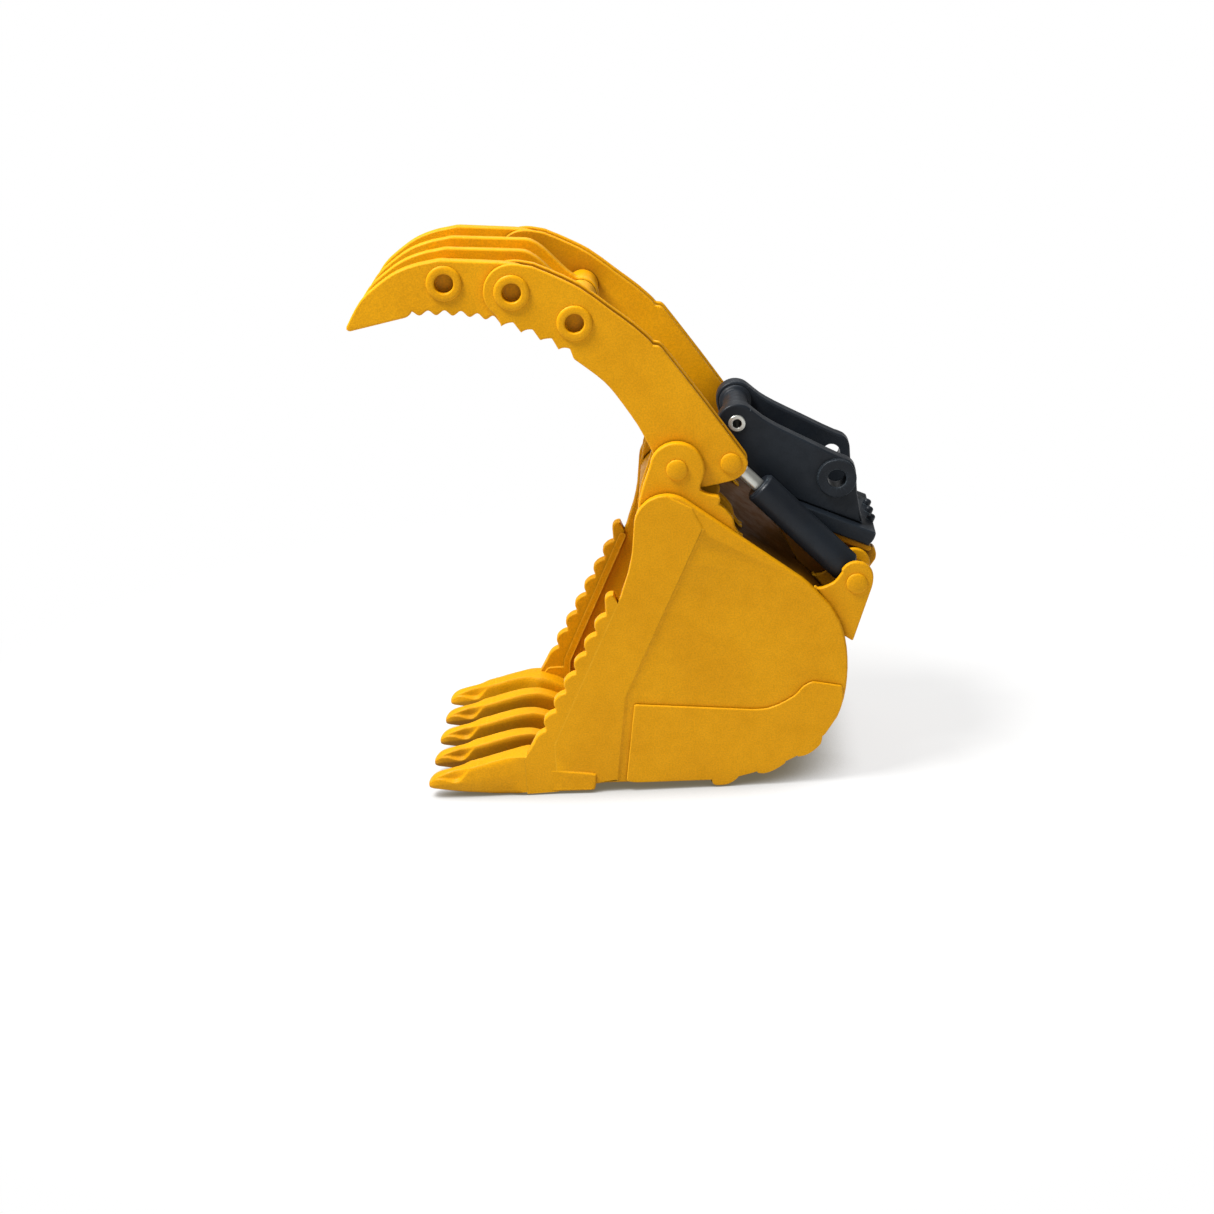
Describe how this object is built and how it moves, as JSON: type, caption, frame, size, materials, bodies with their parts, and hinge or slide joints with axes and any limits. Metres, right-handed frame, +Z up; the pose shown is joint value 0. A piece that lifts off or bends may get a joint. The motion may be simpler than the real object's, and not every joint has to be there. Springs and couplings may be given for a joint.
{
  "type": "excavator bucket with hydraulic claw",
  "caption": "Toothed excavator digging bucket with a hinged hydraulic clamping claw over its mouth, two claw cylinders and a bolted pin-on bracket at the back.",
  "frame": {"origin": "on the level ground the bucket stands on, at mid width, midway between the claw point and the rear of the coupler studs", "axes": "+Z up, -X the way the bucket digs, Y across the width with -Y the left side"},
  "size_m": [2.196, 1.087, 2.382],
  "materials": {
    "yellow_enamel": "satin yellow-orange enamel",
    "black_paint": "satin blue-black paint",
    "bright_steel": "ground bright steel"
  },
  "bodies": {
    "bucket": {"wrapper_shell": "yellow_enamel", "torque_tube": "yellow_enamel", "heel_bar_1": "yellow_enamel", "heel_bar_2": "yellow_enamel", "lip_plate": "yellow_enamel", "side_plate_left": "yellow_enamel", "heel_wear_plate_left": "yellow_enamel", "side_cutter_left": "yellow_enamel", "hinge_ear_outer_left": "yellow_enamel", "hinge_ear_inner_left": "yellow_enamel", "cylinder_bracket_outer_left": "yellow_enamel", "cylinder_bracket_inner_left": "yellow_enamel", "hinge_pin_left": "yellow_enamel", "base_pin_left": "yellow_enamel", "coupler_ear_left": "black_paint", "side_plate_right": "yellow_enamel", "heel_wear_plate_right": "yellow_enamel", "side_cutter_right": "yellow_enamel", "hinge_ear_outer_right": "yellow_enamel", "hinge_ear_inner_right": "yellow_enamel", "cylinder_bracket_outer_right": "yellow_enamel", "cylinder_bracket_inner_right": "yellow_enamel", "hinge_pin_right": "yellow_enamel", "base_pin_right": "yellow_enamel", "coupler_ear_right": "black_paint", "tooth_adapter_1": "yellow_enamel", "tooth_tip_1": "yellow_enamel", "tooth_adapter_2": "yellow_enamel", "tooth_tip_2": "yellow_enamel", "tooth_adapter_3": "yellow_enamel", "tooth_tip_3": "yellow_enamel", "tooth_adapter_4": "yellow_enamel", "tooth_tip_4": "yellow_enamel", "tooth_adapter_5": "yellow_enamel", "tooth_tip_5": "yellow_enamel", "coupler_deck": "yellow_enamel", "coupler_base_plate": "black_paint", "coupler_cross_tube": "black_paint", "coupler_front_pin": "bright_steel"},
    "claw": {"claw_tine_outer_left": "yellow_enamel", "claw_tine_middle_left": "yellow_enamel", "claw_arm_outer_left": "yellow_enamel", "claw_arm_inner_left": "yellow_enamel", "claw_hub_left": "yellow_enamel", "rod_pin_left": "yellow_enamel", "claw_tine_outer_right": "yellow_enamel", "claw_tine_middle_right": "yellow_enamel", "claw_arm_outer_right": "yellow_enamel", "claw_arm_inner_right": "yellow_enamel", "claw_hub_right": "yellow_enamel", "rod_pin_right": "yellow_enamel", "claw_tube_1": "yellow_enamel", "claw_tube_2": "yellow_enamel", "claw_tube_3": "yellow_enamel"},
    "cylinder_left": {"cylinder_barrel_left": "black_paint", "cylinder_gland_left": "black_paint"},
    "rod_left": {"cylinder_rod_left": "bright_steel"},
    "cylinder_right": {"cylinder_barrel_right": "black_paint", "cylinder_gland_right": "black_paint"},
    "rod_right": {"cylinder_rod_right": "bright_steel"}
  },
  "joints": [
    {"name": "claw_hinge", "type": "hinge", "parent": "bucket", "child": "claw", "pos_m": [0.245, 0, 1.449], "axis": [0, -1, 0], "range_deg": [0, 80]},
    {"name": "cylinder_tilt_left", "type": "hinge", "parent": "bucket", "child": "cylinder_left", "pos_m": [0.985, 0, 0.9], "axis": [0, -1, 0], "range_deg": [-0.7, 0.05]},
    {"name": "rod_slide_left", "type": "slide", "parent": "cylinder_left", "child": "rod_left", "axis": [-0.68, 0, 0.7332], "range_m": [-0.001, 0.2955]},
    {"name": "cylinder_tilt_right", "type": "hinge", "parent": "bucket", "child": "cylinder_right", "pos_m": [0.985, 0, 0.9], "axis": [0, -1, 0], "range_deg": [-0.7, 0.05]},
    {"name": "rod_slide_right", "type": "slide", "parent": "cylinder_right", "child": "rod_right", "axis": [-0.68, 0, 0.7332], "range_m": [-0.001, 0.2955]}
  ],
  "couplings": [
    {"joint": "cylinder_tilt_left", "follows": "claw_hinge", "ratio": -0.008242},
    {"joint": "rod_slide_left", "follows": "claw_hinge", "m_per_rad": 0.21073},
    {"joint": "cylinder_tilt_right", "follows": "claw_hinge", "ratio": -0.008242},
    {"joint": "rod_slide_right", "follows": "claw_hinge", "m_per_rad": 0.21073}
  ]
}
